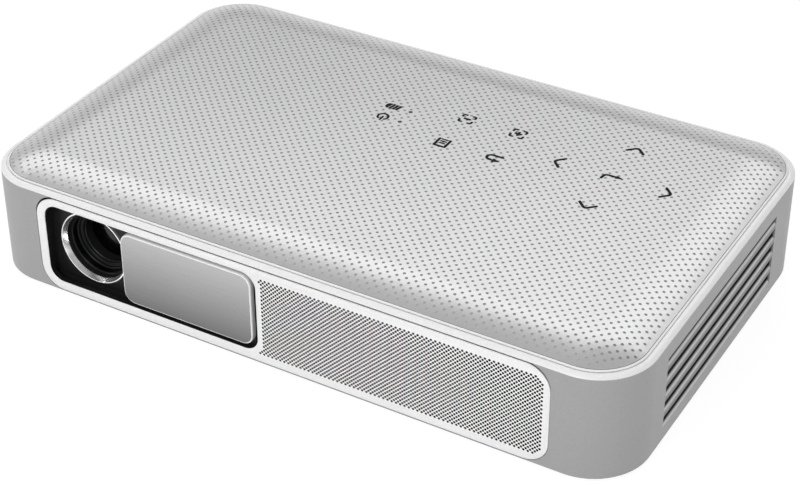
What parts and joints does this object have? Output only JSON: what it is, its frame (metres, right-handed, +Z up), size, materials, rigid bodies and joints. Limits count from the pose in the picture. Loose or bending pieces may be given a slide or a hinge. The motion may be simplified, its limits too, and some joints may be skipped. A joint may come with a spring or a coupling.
{
  "type": "pocket projector",
  "caption": "Slim pocket projector with a perforated speaker front, a sliding lens cover, louvred sides and a softly domed top with touch keys.",
  "frame": {"origin": "centre of the footprint on the surface that the rubber feet stand on", "axes": "+X along the front from the lens towards the speaker, -Y is the front with the lens, +Z up"},
  "size_m": [0.23, 0.1424, 0.0418],
  "materials": {
    "case_silver": "fine silver paint, satin",
    "rim_bright": "pearl silver, satin gloss",
    "cover_pearl": "pale pearl with a fine dot pattern",
    "front_silver": "fine bead blasted, silver",
    "backing_black": "black dust screen",
    "slide_brushed": "brushed, satin",
    "black_matte": "matt black moulding",
    "lens_chrome": "polished",
    "tube_black": "black anodised",
    "lens_glass": "coated, clear",
    "prism_glass": "clear optical glass",
    "gear_nylon": "natural nylon",
    "gear_brass": "machined",
    "motor_steel": "plated",
    "engine_cast": "die cast",
    "engine_plate": "pressed",
    "board_green": "green solder mask",
    "led_red": "lamp base with moulded collimator",
    "led_green": "lamp base with moulded collimator",
    "led_blue": "lamp base with moulded collimator",
    "sink_aluminium": "extruded",
    "fan_black": "glass filled black",
    "battery_sleeve": "shrink sleeve",
    "chip_black": "moulded components",
    "shield_tin": "tin plated",
    "light_guide": "clear light guide",
    "speaker_black": "moulded",
    "cone_paper": "pressed cone",
    "socket_steel": "nickel plated",
    "window_dark": "dark infrared window",
    "foot_rubber": "matt rubber",
    "insert_brass": "machined",
    "screw_steel": "blackened"
  },
  "bodies": {
    "case": {"housing": "case_silver", "rim_ring": "rim_bright", "top_cover": "cover_pearl", "front_panel": "front_silver", "speaker_grille": "front_silver", "grille_backing": "backing_black", "cover_rails": "black_matte", "lens_shroud": "black_matte", "lens_ring": "lens_chrome", "lens_tube": "tube_black", "focus_motor": "motor_steel", "engine_block": "engine_cast", "engine_lid": "engine_plate", "prism": "prism_glass", "imager_board": "board_green", "led_red": "led_red", "led_green": "led_green", "led_blue": "led_blue", "heat_sink": "sink_aluminium", "fan_frame_front": "fan_black", "fan_frame_rear": "fan_black", "battery_pack": "battery_sleeve", "main_board": "board_green", "board_parts": "chip_black", "processor_shield": "shield_tin", "touch_board": "board_green", "light_pipes": "light_guide", "speaker_box_left": "speaker_black", "speaker_box_right": "speaker_black", "speaker_cone_left": "cone_paper", "speaker_cone_right": "cone_paper", "dc_jack": "black_matte", "hdmi_socket": "socket_steel", "usb_socket": "socket_steel", "audio_jack": "black_matte", "card_socket": "socket_steel", "ir_window": "window_dark", "rubber_feet": "foot_rubber", "tripod_insert": "insert_brass", "case_screws": "screw_steel"},
    "lens_slide": {"lens_cover": "slide_brushed", "cover_carriage": "black_matte"},
    "focus_gear": {"focus_ring": "gear_nylon"},
    "focus_drive": {"focus_pinion": "gear_brass"},
    "lens_cell": {"lens_barrel": "black_matte", "front_lens": "lens_glass", "rear_lens": "lens_glass"},
    "fan_front": {"fan_rotor_front": "fan_black"},
    "fan_rear": {"fan_rotor_rear": "fan_black"}
  },
  "joints": [
    {"name": "cover_slide", "type": "slide", "parent": "case", "child": "lens_slide", "axis": [-1, 0, 0], "range_m": [0, 0.0286]},
    {"name": "focus_turn", "type": "hinge", "parent": "case", "child": "focus_gear", "pos_m": [-0.0726, -0.059, 0.01965], "axis": [0, 1, 0], "range_deg": [-45, 45]},
    {"name": "pinion_turn", "type": "hinge", "parent": "case", "child": "focus_drive", "pos_m": [-0.0539, -0.059, 0.01965], "axis": [0, 1, 0], "range_deg": [-1080, 1080]},
    {"name": "lens_focus", "type": "slide", "parent": "case", "child": "lens_cell", "axis": [0, 1, 0], "range_m": [-0.0012, 0.0012]},
    {"name": "fan_front_spin", "type": "hinge", "parent": "case", "child": "fan_front", "pos_m": [-0.1085, -0.018, 0.0184], "axis": [1, 0, 0], "continuous": true},
    {"name": "fan_rear_spin", "type": "hinge", "parent": "case", "child": "fan_rear", "pos_m": [-0.1085, 0.014, 0.0184], "axis": [1, 0, 0], "continuous": true}
  ],
  "couplings": [
    {"joint": "pinion_turn", "follows": "focus_turn", "ratio": -4.1667},
    {"joint": "lens_focus", "follows": "focus_turn", "m_per_rad": 0.00152}
  ]
}
